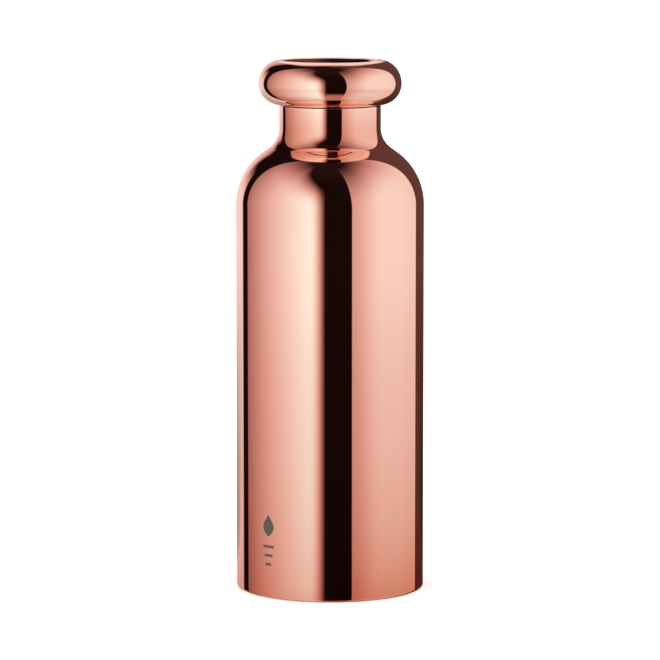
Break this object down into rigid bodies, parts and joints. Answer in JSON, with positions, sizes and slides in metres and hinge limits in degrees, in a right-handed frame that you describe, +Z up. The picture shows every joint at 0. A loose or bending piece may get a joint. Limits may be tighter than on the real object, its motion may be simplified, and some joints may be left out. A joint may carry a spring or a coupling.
{
  "type": "vacuum water bottle",
  "caption": "Cylindrical copper-plated double-wall water bottle with a rounded shoulder, short neck and a ring-shaped screw cap with an insulated stopper.",
  "frame": {"origin": "on the bottle's axis, in the plane of the foot ring that it stands on", "axes": "+Z up along the bottle's axis; the front of the view is -Y and +X is to its right"},
  "size_m": [0.08, 0.08, 0.2257],
  "materials": {
    "copper_plating": "polished",
    "steel": "satin",
    "copper_foil": "satin",
    "black_plastic": "matte",
    "white_plastic": "matte",
    "foam": "matte",
    "silicone": "satin",
    "adhesive": "matte",
    "solder_glass": "gloss",
    "getter": "matte"
  },
  "bodies": {
    "bottle": {"outer_shell": "copper_plating", "outer_base": "steel", "base_cover": "copper_plating", "cover_adhesive": "adhesive", "vacuum_seal": "solder_glass", "inner_flask": "steel", "mouth_ring": "steel", "inner_flask_bottom": "steel", "radiation_foil": "copper_foil", "getter_holder": "steel", "getter_pellet": "getter"},
    "gasket": {"cap_gasket": "silicone"},
    "cap": {"cap_shell": "copper_plating", "cap_underside": "copper_plating", "cap_former": "white_plastic", "stopper_core": "black_plastic", "stopper_cover": "black_plastic", "stopper_foam": "foam"}
  },
  "joints": [
    {"name": "cap_rise", "type": "slide", "parent": "bottle", "child": "gasket", "axis": [0, 0, 1], "range_m": [0, 0.027]},
    {"name": "cap_turn", "type": "hinge", "parent": "gasket", "child": "cap", "pos_m": [0, 0, 0.2158], "axis": [0, 0, 1], "range_deg": [0, 1080]}
  ],
  "couplings": [
    {"joint": "cap_rise", "follows": "cap_turn", "m_per_rad": 0.0014324}
  ]
}
